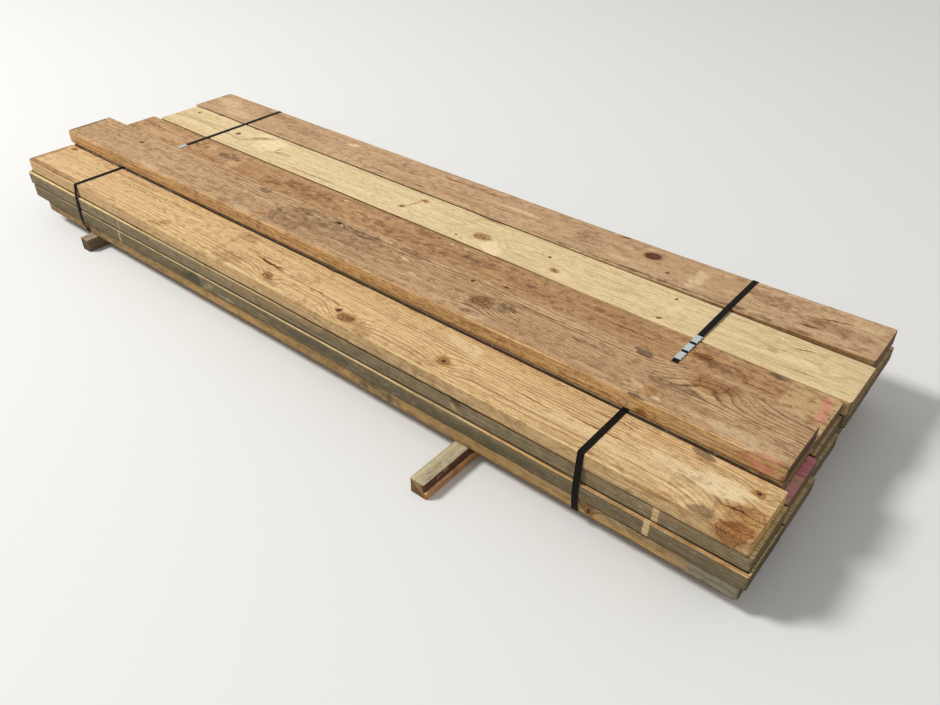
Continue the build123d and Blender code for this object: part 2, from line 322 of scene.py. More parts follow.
# What one board has of its own. Places are millimetres in the row frame, measured from the
# stack's middle. pith is where the middle of the log lay, across and up from the board's lower
# near edge; taper is how much nearer it comes over a metre; corners is how far its two near
# corners are worn round, and endShade what its sawn ends are multiplied by.
# A knot is (x, y, z, half length, half width, half height) and its turn in degrees if it has one.
# A mark is (x, y, half length, half width, strength) and its turn, on the top face, or on the near
# face with z for y if its kind ends in Side; marks are laid over each other in the order given.
# A swirl is bent grain without a knot, (x, y, half length, half width). A stripe is a pale mark
# where banding lay before, (x, half width, strength).
boardLooks = {
    "layer_4_board_1": {
        "wood": "pine_tan", "pith": (-45, -95), "taper": 6, "seed": 41, "corners": (20, 7),
        # its sawn ends are kept pale: painted light on ends that lie away from the lamp
        "endShade": "#f2ede2",
        "knots": {
            "eye": [
                (-1477, -311, 250, 13, 9, 40), (622, -428, 250, 19, 13, 45, -10),
                (1492, -344, 250, 13, 9, 40, -15),
            ],
            "ring": [(-100, -445, 250, 20, 12, 40, -20), (264, -451, 250, 24, 15, 45, 10)],
            "hole": [(217, -434, 250, 10, 8, 40)],
            "swirl": [(1503, -420, 250, 38, 24, 60, 10)],
            "burl": [(1497, -478, 240, 40, 21, 34, 20)],
            "dark": [(-150, -392, 250, 50, 4.5, 40, -7)],
            "crack": [
                (1095, -390, 250, 80, 2.6, 80), (1112, -334, 250, 60, 2.2, 80),
                (1470, -422, 250, 34, 2.4, 80), (-728, -390, 250, 18, 2.0, 80, -32),
                (905, -404, 250, 60, 2.0, 80), (-870, -358, 250, 200, 1.8, 80),
                (150, -410, 250, 120, 2.0, 80, -3),
            ],
        },
        "marks": {
            "brown": [
                (-340, -325, 70, 22, 0.9), (-290, -455, 70, 34, 0.8, 10), (-365, -390, 16, 90, 0.6),
                (330, -468, 60, 18, 0.9, -15), (-655, -455, 52, 30, 0.7, 20), (-1300, -478, 330, 15, 0.7),
                (1480, -455, 80, 60, 0.6), (1060, -470, 260, 16, 0.4), (-60, -462, 44, 12, 1.0, -8),
                (-30, -402, 110, 5, 0.8, -5), (80, -330, 120, 22, 0.35), (300, -452, 90, 26, 0.7, -14),
                (870, -300, 200, 12, 0.35), (560, -455, 110, 22, 0.5, 5),
            ],
            "grey": [
                (1333, -303, 34, 14, 1.5, -15), (1417, -474, 34, 17, 1.5, 10), (-82, -452, 18, 9, 0.6),
            ],
            "pale": [
                (606, -334, 70, 26, 0.55, -12), (655, -322, 30, 12, 0.7, -24), (1300, -380, 150, 22, 0.7),
                (1410, -380, 90, 36, 0.9, 8), (1150, -420, 220, 30, 0.5), (-1380, -440, 90, 26, 0.4),
                (300, -380, 320, 10, 0.5), (-700, -360, 260, 9, 0.5),
            ],
            "umber": [
                (-1528, -400, 26, 140, 0.8), (-1400, -476, 230, 28, 0.55), (-1100, -486, 300, 10, 0.5),
                (-1050, -320, 260, 9, 0.5),
            ],
            "cream": [(-1420, -400, 90, 20, 0.5), (1400, -385, 110, 46, 0.85, 8)],
            "greySide": [(650, 225, 560, 40, 0.4)],
        },
        "swirls": [(1167, -331, 14, 12), (1267, -420, 18, 14)],
    },
    "loose_board": {
        "wood": "pine_grey_brown", "pith": (232, -78), "taper": 8, "seed": 52, "corners": (15, 5),
        "endShade": "#725d37",
        "knots": {
            "ring": [(557, -187, 301, 27, 21, 45), (1148, -281, 258, 12, 16, 12)],
            "swirl": [(1257, -112, 301, 40, 27, 45, 8), (1145, -236, 301, 17, 13, 30)],
            "hole": [
                (470, -114, 301, 7, 7, 20), (-106, -117, 301, 10, 8, 20),
                (-1215, -155, 301, 10, 7, 20, 20),
            ],
            "crack": [
                (640, -146, 250, 60, 2.4, 80), (-1190, -206, 250, 20, 3.0, 80),
                (860, -140, 250, 90, 2.0, 80),
            ],
        },
        "marks": {
            "brown": [
                (1311, -104, 34, 22, 0.9), (1190, -185, 75, 30, 0.8), (911, -164, 70, 10, 0.8),
                (40, -125, 120, 18, 0.6), (225, -108, 90, 20, 0.9), (100, -176, 32, 6, 0.9),
                (-240, -180, 120, 85, 0.75, 12), (-20, -160, 330, 80, 0.5), (-1550, -190, 14, 90, 1.0),
                (-1150, -165, 60, 12, 0.6, 8), (700, -131, 70, 8, 0.7), (560, -250, 60, 16, 0.7),
                (-700, -110, 160, 20, 0.4),
            ],
            "grey": [
                (-90, -140, 260, 50, 0.4), (-1553, -180, 9, 80, 0.8), (632, -172, 46, 30, 0.7, 8),
                (1049, -100, 34, 16, 1.5, -10), (1128, -279, 26, 10, 1.5), (-494, -117, 46, 14, 0.6),
                (-330, -205, 16, 60, 0.6, 22), (590, -205, 22, 6, 0.8, 40), (-135, -126, 32, 6, 0.9, -10),
                (1180, -170, 90, 16, 0.4),
            ],
            "pale": [
                (-60, -160, 40, 12, 0.45, 12), (225, -152, 24, 7, 0.7, -12), (300, -200, 18, 7, 0.6, 10),
                (600, -262, 46, 16, 0.45, 32), (-1000, -262, 110, 16, 0.5), (-1230, -235, 250, 34, 0.35),
                (1400, -250, 140, 30, 0.5), (-440, -260, 60, 18, 0.5), (1130, -240, 60, 12, 0.6, -20),
            ],
            "pink": [(1478, -276, 44, 15, 0.55)],
            "golden": [(-365, -237, 20, 15, 1.0, 30)],
            # dirt on the worn right near corner, on top and on the near face
            "shadeAndDirt": [(1520, -282, 30, 9, 0.55)],
            "shadeAndDirtSide": [(1524, 262, 14, 16, 0.5)],
            "creamSide": [(1330, 280, 130, 12, 0.35)],
            "brownSide": [
                (250, 266, 420, 12, 0.3), (-335, 282, 26, 16, 1.0, 40), (1150, 290, 120, 10, 0.4),
                (660, 284, 160, 10, 0.5),
            ],
            "pinkSide": [(1462, 272, 52, 20, 0.6)],
        },
    },
    "layer_4_board_3": {
        "wood": "pine_brown", "pith": (-60, -80), "taper": 6, "seed": 63, "corners": (8, 9),
        "knots": {
            "ring": [(1155, 52, 250, 24, 13, 40, 10), (-1168, 30, 250, 12, 9, 30)],
            "hole": [(522, -12, 250, 9, 5, 20)],
            "crack": [
                (-1430, 58, 250, 120, 3.0, 80, -3), (1330, 20, 250, 60, 2.4, 80),
                (930, 34, 250, 120, 2.2, 80),
            ],
        },
        "marks": {
            "brown": [
                (-450, 44, 150, 34, 0.9), (105, 84, 60, 16, 0.9), (372, 52, 80, 26, 0.8),
                (-620, 20, 60, 40, 0.6), (1215, 38, 70, 30, 0.9), (560, 30, 150, 28, 0.5),
                (860, 70, 150, 20, 0.5), (-1440, 42, 110, 16, 0.6), (80, 30, 400, 30, 0.5),
            ],
            "grey": [
                (-940, 52, 66, 22, 0.8), (-1110, 60, 46, 22, 0.5), (1364, 105, 34, 16, 1.0),
                (578, 36, 40, 14, 0.6),
            ],
            "pale": [
                (-1058, 72, 24, 36, 0.5), (-869, 20, 36, 60, 0.5), (-1360, 30, 200, 60, 0.45),
                (-289, 83, 14, 6, 1.0), (217, 86, 16, 6, 1.0), (278, 92, 18, 5, 0.8),
                (440, 30, 60, 20, 0.4), (1290, 0, 160, 10, 0.5),
            ],
            "pink": [(1501, 34, 15, 86, 0.75, 4)],
            "golden": [(-760, -2, 500, 12, 0.6)],
        },
        "stripes": [(1462, 66, 0.55)],
    },
    "layer_4_board_4": {
        "wood": "pine_pale", "pith": (92, -70), "taper": 7, "seed": 74, "corners": (12, 12),
        "knots": {
            "ring": [(261, 193, 250, 27, 17, 45)],
            "eye": [
                (-67, 266, 250, 13, 9, 30), (-106, 183, 250, 12, 8, 30), (578, 167, 250, 16, 10, 35, -14),
            ],
            "hole": [
                (-1106, 230, 250, 10, 8, 25), (183, 149, 250, 5, 5, 15), (517, 229, 250, 6, 5, 15),
                (963, 269, 250, 5, 4, 15), (969, 144, 250, 7, 5, 15), (-1436, 270, 250, 7, 6, 15),
            ],
            "crack": [
                (-838, 222, 250, 20, 2.4, 80, 62), (-820, 208, 250, 18, 2.4, 80, 4),
                (-1020, 214, 250, 34, 3.0, 80, 35), (-86, 228, 250, 44, 2.4, 80, 72),
                (1360, 262, 250, 30, 2.6, 80, 18), (-560, 148, 250, 120, 2.4, 80),
                (1395, 160, 250, 30, 1.8, 80, 4),
            ],
        },
        "marks": {
            "brown": [
                (-1430, 130, 90, 14, 0.6), (1294, 208, 19, 17, 0.9), (-1530, 210, 14, 100, 0.6),
                (-970, 262, 50, 20, 0.7, 38), (1380, 150, 120, 6, 0.4),
            ],
            "grey": [(217, 312, 70, 12, 1.0), (-150, 314, 60, 7, 0.6)],
            "pale": [
                (330, 152, 60, 34, 0.9, -20), (-900, 235, 90, 60, 0.8), (-985, 290, 50, 20, 0.7),
                (983, 215, 40, 30, 0.6), (610, 160, 50, 22, 0.6), (-50, 250, 30, 20, 0.6),
            ],
            "pink": [(1546, 180, 5, 34, 0.5)],
            "umber": [(-985, 262, 46, 9, 0.75, 38)],
        },
        "swirls": [(983, 219, 34, 22), (1456, 219, 36, 22)],
    },
    "layer_4_board_5": {
        "wood": "pine_rosy", "pith": (-50, -90), "taper": 5, "seed": 85, "corners": (5, 7),
        "knots": {
            "dark": [(780, 450, 256, 25, 20, 40)],
            "hole": [(867, 383, 256, 8, 5, 20)],
            "crack": [
                (-106, 472, 250, 36, 4.0, 80, -6), (-172, 352, 250, 30, 3.0, 80),
                (206, 399, 250, 46, 2.6, 80, 3), (644, 502, 250, 26, 4.0, 80, 20),
                (1378, 441, 250, 44, 3.0, 80, 14), (1330, 372, 250, 30, 3.4, 80, 6),
                (-400, 350, 250, 60, 2.4, 80),
            ],
        },
        "marks": {
            "brown": [
                (-900, 430, 160, 34, 0.6), (-300, 440, 160, 40, 0.5), (540, 420, 60, 60, 0.6),
                (1200, 440, 90, 40, 0.7), (1390, 400, 120, 40, 0.6), (-1120, 470, 130, 26, 0.7),
                (1340, 374, 40, 8, 1.0), (60, 480, 200, 16, 0.6), (1072, 486, 34, 5, 1.0),
                (-820, 350, 90, 14, 0.5),
            ],
            "grey": [(900, 330, 600, 8, 0.7), (1120, 334, 30, 12, 0.8)],
            "pale": [
                (960, 410, 30, 80, 0.6), (-1290, 380, 120, 40, 0.5), (250, 430, 110, 14, 0.6),
                (-640, 462, 36, 16, 1.0, 25), (700, 372, 60, 16, 0.5), (-1420, 440, 90, 50, 0.5),
                (1470, 470, 60, 30, 0.5), (-300, 380, 200, 20, 0.35),
            ],
        },
    },
    "layer_4_board_2": {
        "wood": "pine_tan", "pith": (-30, -70), "taper": 5, "seed": 37,
        "marks": {
            # painted shade along the near edge, in the gap under the loose board
            "shadeAndDirt": [(0, -286, 3000, 9, 1.0)],
        },
    },
    "layer_3_board_2": {
        "wood": "pine_grey_green", "pith": (60, -70), "taper": 5, "seed": 38,
        "marks": {
            # the cream over the strip that stands out past the board above is a painted highlight
            "cream": [(1530, -190, 40, 130, 0.9)],
            "paint": [(1536, -130, 34, 62, 1.0), (1540, -240, 26, 34, 0.9)],
        },
    },
    "layer_3_board_1": {
        "wood": "pine_grey_green", "pith": (-60, -60), "taper": 4, "seed": 31, "corners": (12, 6),
        "knots": {
            "ring": [(712, -488, 190, 15, 8, 11)],
        },
        "marks": {
            "umberSide": [(-60, 186, 340, 8, 0.6), (1250, 184, 200, 6, 0.4)],
            # the pale yellow strips along the top's near edge and at its right end are a painted highlight
            "butter": [(-1100, -497, 620, 12, 1.0), (1545, -400, 14, 140, 0.9)],
            "mossSide": [(300, 170, 300, 8, 0.35)],
            "creamSide": [(708, 178, 9, 15, 0.7, 24)],
            "brownSide": [(735, 180, 24, 22, 0.6)],
            "greySide": [(-1440, 175, 120, 26, 0.5), (1000, 176, 320, 20, 0.35)],
        },
        "stripes": [(1317, 8, 0.85), (-896, 4, 0.4)],
    },
    "layer_2_board_1": {
        "wood": "pine_grey_green", "pith": (-50, -80), "taper": 4, "seed": 22, "corners": (10, 6),
        "marks": {
            "oliveSide": [(0, 122, 2400, 60, 1.0)],
            "golden": [(1300, -490, 600, 30, 0.7)],
            # the pale yellow strip at the right end of the top is a painted highlight
            "butter": [(1552, -400, 12, 140, 0.8)],
            "mossSide": [(-455, 124, 66, 20, 1.0), (130, 126, 120, 13, 0.6), (800, 112, 260, 11, 0.5)],
            "creamSide": [(-372, 120, 34, 7, 0.5, 30)],
            "brownSide": [(-380, 112, 30, 10, 0.5, 40)],
            "greySide": [(560, 120, 520, 18, 0.7), (-1250, 122, 160, 20, 0.5), (120, 130, 200, 18, 0.5)],
            "paleSide": [(-290, 112, 60, 8, 0.5)],
        },
        "stripes": [(1304, 8, 0.85), (-902, 4, 0.7)],
    },
    "layer_1_board_1": {
        "wood": "pine_golden", "pith": (-70, -60), "taper": 4, "seed": 13, "corners": (12, 10),
        "knots": {
            "ring": [(1148, -484, 76, 16, 8, 15)],
            "hole": [(1146, -485, 70, 5, 6, 8)],
        },
        "marks": {
            # painted shade along the top of the near face, under the overhang of the layer above
            "shadeAndDirtSide": [(0, 101, 3000, 8, 0.85)],
            "sageSide": [(1495, 74, 95, 40, 1.0), (1230, 84, 260, 9, 0.4)],
            "brownSide": [(120, 70, 300, 14, 0.4)],
            "greySide": [(-1300, 74, 460, 40, 0.6), (420, 76, 90, 26, 0.7), (-760, 74, 200, 30, 0.4)],
        },
    },
}

# 2c2017 is painted shade in the joints and gaps, and dirt on the loose board's worn corner
# e6cc9e is pale wood, and a painted highlight where it lies on the third layer's second board
# f6dc9f is a painted highlight on narrow strips of top face that stand out past the layer above
markTones = {
    "golden": "#cf9c62", "olive": "#7b6e53", "shadeAndDirt": "#2c2017", "paint": "#ffa0b0", "cream": "#e6cc9e",
    "butter": "#f6dc9f", "umber": "#b58c60", "sage": "#948e79", "moss": "#55523e",
}
markChannels = ["brown", "grey", "pale", "pink"]    # these four are left to the material

# What a board has unless boardLooks says otherwise, and the wood of each plain layer.
bareLooks = {"endShade": "#999284", "knots": {}, "marks": {}, "swirls": [], "stripes": []}
plainWoods = ["pine_golden", "pine_grey_green", "pine_grey_green", "pine_tan"]


def nearFace(layer, x):
    # Y of a layer's near face at x
    share = x / layout["stackLength"]
    return nearLeft[layer] * (1 - share) + nearRight[layer] * share


def boardEnds(layer, column):
    # where a board begins and ends along X
    return -leftOverhangs[layer][column], layout["stackLength"] + rightOverhangs[layer][column]


def boardOffset(layer, column):
    # how far a board's near face lies behind its layer's near face
    return column * boardSize["width"] + sum(layerGaps[layer][:column])


def layerFloor(layer):
    # how high a layer's underside lies
    return layout["bearerHeight"] + layer * layout["layerHeight"]


def neighbourEnds(layer, column):
    # where a neighbouring board begins and ends, or nothing past the layer's sides
    return boardEnds(layer, column) if 0 <= column < layout["columns"] else None


def coveredBy(layer):
    # what the near board of a layer covers of the one below: Y of its near face at the left and at
    # the right, then X of its ends
    return nearLeft[layer], nearRight[layer], *boardEnds(layer, 0)


def plainLooks(layer, seed):
    # the looks of a board that shows only its ends: its layer's wood, from a random part of the log
    rng = np.random.default_rng(seed)
    return {
        **bareLooks, "wood": plainWoods[layer], "seed": seed,
        "pith": (rng.uniform(30, 170), rng.uniform(-120, -40)),
        "taper": rng.uniform(3, 9), "corners": tuple(rng.uniform(3, 9, 2)),
    }


def stackedBoard(layer, column):
    # one board of the four layers, with its place and its looks; beside holds its near and far
    # neighbours' ends, opens where a joint widens, and cover what lies on its top face
    name = f"layer_{layer + 1}_board_{column + 1}"
    left, right = boardEnds(layer, column)
    onTop = layer == layout["layers"] - 1
    beside = [neighbourEnds(layer, column - 1), neighbourEnds(layer, column + 1)]
    if onTop and column == 0:
        beside[1] = None    # this joint lies open under the loose board's edge and gets no painted shade
    return {
        "name": name, "left": left, "right": right,
        "nearY": nearFace(layer, 0), "offset": boardOffset(layer, column), "z": layerFloor(layer),
        "skew": math.atan2(nearRight[layer] - nearLeft[layer], layout["stackLength"]),
        "radius": boardSize["edgeRadius"],
        "bowed": onTop and column == layout["columns"] - 1,
        "detail": "fine" if onTop and column != 1 else "coarse",
        "stacked": True,
        "beside": beside,
        "opens": boardSize["bowOpens"] if onTop and column >= layout["columns"] - 2 else None,
        "cover": None if onTop or column else coveredBy(layer + 1),
        "looks": {**plainLooks(layer, 100 * layer + 10 * column + 7), **boardLooks.get(name, {})},
    }


def looseBoard():
    # the board that lies on the straps
    return {
        "name": "loose_board",
        "left": -boardSize["looseLeftOverhang"],
        "right": layout["stackLength"] + boardSize["looseRightOverhang"],
        "nearY": boardSize["looseNearY"], "offset": 0.0, "z": boardSize["looseZ"],
        "skew": math.radians(boardSize["looseSkew"]),
        "radius": boardSize["looseEdgeRadius"],
        "bowed": False,
        "detail": "fine",
        "stacked": False,
        "beside": [None, None],
        "opens": None,
        "cover": None,
        "looks": {**bareLooks, **boardLooks["loose_board"]},
    }


def easedSection(width, height, radius, acrossCount, upCount, roundCount):
    # a rectangle whose corners are quarter circles, as points (across, up) from its lower near
    # corner and the outward direction at each, going along the bottom, up the far side, back over
    # the top and down the near side
    def run(count):
        # the middles of count even steps from 0 to 1
        return (np.arange(count) + 0.5) / count

    turn = run(roundCount) * math.pi / 2
    across = radius + run(acrossCount) * (width - 2 * radius)
    up = radius + run(upCount) * (height - 2 * radius)
    cos, sin = np.cos(turn), np.sin(turn)
    far, high = width - radius, height - radius
    parts = [
        (across, 0, 0, -1),
        (far + radius * sin, radius - radius * cos, sin, -cos),
        (width, up, 1, 0),
        (far + radius * cos, high + radius * sin, cos, sin),
        (across[::-1], height, 0, 1),
        (radius - radius * sin, high + radius * cos, -sin, cos),
        (0, up[::-1], -1, 0),
        (radius - radius * cos, radius - radius * sin, -cos, -sin),
    ]
    return np.concatenate([np.stack(np.broadcast_arrays(*part)) for part in parts], 1).astype(float)


def boardStations(board):
    # places along the board, closer together near its ends, and how far the section is drawn
    # inwards at each: at both ends in steps, until it closes on the end's middle line
    left, right, bevel = board["left"], board["right"], boardWear["endBevel"]
    count = math.ceil((right - left) / boardDetail[board["detail"]]["step"])
    ease, even = bevel + np.array(endSteps["along"]), endSteps["even"]
    body = np.concatenate([left + ease, np.linspace(left + even, right - even, count), right - ease[::-1]])
    inner = np.array([boardSize["thickness"] / 2, *endSteps["inwards"], bevel])
    along = np.concatenate([np.full(len(inner), left), body, np.full(len(inner), right)])
    inset = np.concatenate([inner, np.zeros(len(body)), inner[::-1]])
    return along[:, None], inset[:, None]


def wornDepth(board, section, x, y, z):
    # how far each point lies inside the sawn face: fine waves over the faces, a slight hollow
    # across them, softer edges and ends, and nicks, which are small pits at random on the edges
    across, up, outY, outZ = section
    wear, seed = boardWear, board["looks"]["seed"]
    width, height = boardSize["width"], boardSize["thickness"]
    depth = wear["grain"] * (1 + waves(x, y + z, seed + 1, longest=70, count=6, stretch=6.0))
    middle = 1 - ((across - width / 2) / (width / 2)) ** 2
    hollows = 1 + waves(x, 0 * x, seed + 2, longest=1900, count=3)
    depth += np.abs(outZ) * wear["hollow"] * middle * hollows
    depth += np.abs(outY) * wear["edge"] * (1 + waves(x, 40 * outY, seed + 3, longest=1100, count=4))
    arrises = 1 + waves(x, 37 * outY + 19 * outZ, seed + 4, longest=160)
    depth += np.abs(outY * outZ) * 2 * wear["arris"] * arrises
    endGap = np.minimum(x - board["left"], board["right"] - x)
    depth += wear["end"] * np.exp(-endGap / wear["endReach"])
    rng = np.random.default_rng(seed + 5)
    for _ in range(boardDetail[board["detail"]]["nicks"]):
        at = rng.uniform(board["left"], board["right"])
        reach, pit = rng.uniform(*wear["nickLength"]), rng.uniform(*wear["nickDepth"])
        sideY, sideZ = rng.choice([-1, 1]), rng.choice([-1, 1, 1])    # more of them on top
        toEdge = np.hypot(across - (width if sideY > 0 else 0), up - (height if sideZ > 0 else 0))
        depth += pit * np.exp(-((x - at) / reach) ** 2) * np.exp(-(toEdge / wear["nickWidth"]) ** 2)
    return np.clip(depth, 0, wear["most"])


def bow(board, x, z):
    # from the bow's start the board follows a wide arc upwards: a point at height z is turned
    # about the arc's centre, which lies bowRadius above the underside
    start = board["right"] - boardSize["bowLength"]
    angle = np.arcsin(np.maximum(x - start, 0) / bowRadius)
    bentX = np.where(x > start, start + (bowRadius - z) * np.sin(angle), x)
    return bentX, np.where(angle > 0, bowRadius - (bowRadius - z) * np.cos(angle), z)


# How far a knot pushes the rings out: by its half width and a bit more, over a hill that is
# wider than the knot by these factors and millimetres. A swirl makes a low hill.
hillShape = {"height": 5.0, "length": (2.6, 14.0), "width": (1.7, 8.0), "depth": 1.4}
swirlShape = {"height": 5.0, "length": 1.4, "width": 1.2}


def knotHill(row, x, y, z, halfLength, halfWidth, halfHeight, turn=0):
    # a smooth hill: height times e to minus the squared distance from the knot, along, across and
    # up, each counted in the hill's own half sizes
    u, v = turned(row[0] - x, row[1] - y, turn)
    (lengthTimes, lengthMore), (widthTimes, widthMore) = hillShape["length"], hillShape["width"]
    u, v = u / (halfLength * lengthTimes + lengthMore), v / (halfWidth * widthTimes + widthMore)
    w = (row[2] - z) / (halfHeight * hillShape["depth"])
    return (halfWidth + hillShape["height"]) * np.exp(-u * u - v * v - w * w)


def ringBulge(looks, row):
    # the hills of all knots, and of the swirls that have no knot in them
    bulge = np.zeros(row[0].shape)
    for kind, knots in looks["knots"].items():
        if kind != "crack":
            bulge += sum(knotHill(row, *knot) for knot in knots)
    for x, y, halfLength, halfWidth in looks["swirls"]:
        u = (row[0] - x) / (halfLength * swirlShape["length"])
        v = (row[1] - y) / (halfWidth * swirlShape["width"])
        bulge += swirlShape["height"] * np.exp(-u * u - v * v)
    return bulge


def markWeight(row, topness, onSide, x, y, halfLength, halfWidth, strength, turn=0):
    # how strongly a mark shows at each point: fully inside its ellipse, fading over its outline,
    # which is made ragged by waves; a mark on the side has its height in place of y
    across = row[2] if onSide else row[1]
    u, v = turned(row[0] - x, across - y, turn)
    seed = int(abs(x) + abs(y)) + 5
    ragged = 0.28 * waves(row[0], across * 2.2, seed, longest=90, count=6, stretch=1.8)
    weight = strength * (1 - softStep(np.hypot(u / halfLength, v / halfWidth) + ragged, 0.55, 1.25))
    onTop = softStep(topness, 0.25, 0.75)
    return weight * (1 - onTop if onSide else onTop)


def paintedWood(looks, row, topness):
    # the wood's colour, from that of its edges to that of its top face, with the marks laid over
    # it in turn, and the strengths of the marks that are left to the material
    wood = woods[looks["wood"]]
    spring, side = (np.array(hexColour(wood[key])[:3]) for key in ("spring", "side"))
    tone = spring * topness[..., None] + side * (1 - topness[..., None])
    strengths = np.zeros((*topness.shape, len(markChannels)))
    for kind, marks in looks["marks"].items():
        base = kind.removesuffix("Side")
        for mark in marks:
            weight = markWeight(row, topness, base != kind, *mark)
            if base in markChannels:
                channel = strengths[..., markChannels.index(base)]
                np.maximum(channel, weight, out=channel)
            else:
                tone += (np.array(hexColour(markTones[base])[:3]) - tone) * weight[..., None]
    return tone, strengths


def paintedJointShade(board, section, x, rowX):
    # how much painted shade each point gets: the lowest few millimetres of the narrow faces, and the
    # edges where a neighbour stands close by, less where the bowed board lifts a joint open
    up, outY = section[1], section[2]
    past, fade = paintedJointShadeLook["past"], paintedJointShadeLook["fade"]
    low = (1 - softStep(up, *paintedJointShadeLook["low"])) * (np.abs(outY) > 0.1) * board["stacked"]
    beside = np.zeros(x.shape)
    for side, ends in zip((-1, 1), board["beside"]):
        if ends:
            begun = softStep(x, ends[0] - past, ends[0] + fade)
            over = softStep(x, ends[1] - fade, ends[1] + past)
            beside += softStep(outY * side, 0.3, 0.95) * begun * (1 - over)
    if board["opens"]:
        beside *= 1 - softStep(rowX, *board["opens"])
    return np.maximum(low, beside)


def boardMesh(board):
    # The section is carried along the board: point (i, j) is section point j at station i, moved
    # inwards by its wear. At each end the section is drawn inwards in steps, each point held inside
    # a smaller rectangle, until it closes on the end's middle line. Then the board is bowed, turned
    # by its skew and put in place.
    looks, detail = board["looks"], boardDetail[board["detail"]]
    width, height, seed = boardSize["width"], boardSize["thickness"], looks["seed"]
    section = easedSection(width, height, board["radius"], detail["across"], detail["up"], detail["round"])
    across, up, outY, outZ = section
    along, inset = boardStations(board)
    capped = inset > 0
    y = np.clip(across, inset, width - inset)
    z = np.clip(up, inset, height - inset)
    x = np.broadcast_to(along, y.shape).copy()
    wear = np.where(capped, 0, wornDepth(board, section, x, y, z))
    y = y - outY * wear
    z = z - outZ * wear

    # the saw left the ends a little uneven
    onEnd = capped & (np.minimum(x - board["left"], board["right"] - x) < 1e-6)
    rough = np.maximum(1 + waves(y, z, seed + 6, longest=46, count=6), 0) * boardWear["endRoughness"]
    x = x + onEnd * rough * np.sign(board["left"] + 1 - x)

    # the near corners are worn round: at distance d from an end the near face stands back by
    # r - sqrt(r^2 - (r - d)^2), and the section is squeezed to fit
    for radius, gap in zip(looks["corners"], (x - board["left"], board["right"] - x)):
        short = np.clip(radius - gap, 0, radius)
        back = radius - np.sqrt(radius ** 2 - short ** 2)
        y = back + y * (width - back) / width

    # where each point lies in the log, before the board is bowed or turned: the pith wanders a
    # little, and comes nearer by the log's taper
    pithY, pithZ = looks["pith"]
    nearer = looks["taper"] * (x - board["left"]) / 1000
    grain = np.stack([
        x,
        y - pithY - 5 * waves(x, 0 * x, seed + 7, longest=2600, count=3),
        z - pithZ + nearer - 4 * waves(x, 0 * x, seed + 8, longest=1500, count=4),
    ], -1)

    if board["bowed"]:
        x, z = bow(board, x, z)
    y = y + board["offset"]
    c, s = math.cos(board["skew"]), math.sin(board["skew"])
    placed = np.stack([x * c - y * s, x * s + y * c + board["nearY"], z + board["z"]], -1)

    # rings bulge round each knot, and marks lie where they were seen
    row = [placed[..., 0] - layout["middleX"], placed[..., 1] - layout["middleY"], placed[..., 2]]
    topness = np.broadcast_to(np.clip(outZ, 0, 1) * (up > height / 2), x.shape)
    tone, strengths = paintedWood(looks, row, np.where(capped, 0.3, topness))
    # the painted shade in the joints darkens the tone, but not on the sawn ends
    shadeAndDirt = np.where(capped, 0, paintedJointShade(board, section, x, row[0]))
    tone = tone * (1 - shadeAndDirt[..., None] * (1 - np.array(paintedJointShadeLook["shade"])))
    arris = np.where(capped, 0.5, np.abs(outY * outZ) * 2)

    thing = meshObject(board["name"] + "_sawn", placed.reshape(-1, 3), gridFaces(*x.shape))
    putPineAttributes(thing.data, grain, ringBulge(looks, row), strengths, tone, arris)
    finishMesh(thing)
    return thing


# The noises in the wood: the size of their lumps in millimetres along, across and up the grain,
# then their detail and roughness. Fibres and grit are drawn coarser than real ones, because those
# are too fine to show.
noises = {
    "slow": ((900, 70, 70), 2.0, 0.5),
    "fast": ((130, 10, 10), 2.0, 0.5),
    "band": ((520, 16, 16), 3.0, 0.6),
    "fibre": ((230, 3.8, 3.8), 4.0, 0.65),
    "thread": ((30, 2.4, 2.4), 2.0, 0.6),
    "blotch": ((260, 60, 60), 5.0, 0.65),
    "patch": ((34, 18, 18), 5.0, 0.7),
    "grit": ((4.2, 3.0, 3.0), 3.0, 0.7),
}

# The colours laid over the wood. pale is wood scuffed or bleached, pink a paint mark, speck raised
# grain, arris the light on rounded edges, stripe where banding lay, and covered what the painted
# shade under another board leaves of the wood.
pineTones = {
    "pale": "#fbe3b6", "pink": "#dd8078", "speck": "#f3dcb4", "arris": "#f6dcae", "stripe": "#d9bb88",
    "covered": "#3a2a1c",
}

# How dark a year's wood is, from the start of its spring wood (0) to the end of its summer wood (1).
summerLine = [(0.0, 0.0), (0.45, 0.04), (0.74, 0.45), (0.87, 1.0), (0.95, 0.8), (1.0, 0.0)]


def pineNoises(add, grain):
    # every noise of the list above, read at each point's place in the log
    lumps = {}
    for key, (sizes, detail, roughness) in noises.items():
        scaled = add("VectorMath", {0: grain, 1: tuple(1 / size for size in sizes)}, operation="MULTIPLY")
        settings = {"Vector": scaled, "Scale": 1.0, "Detail": detail, "Roughness": roughness}
        lumps[key] = add("TexNoise", settings)
    return lumps


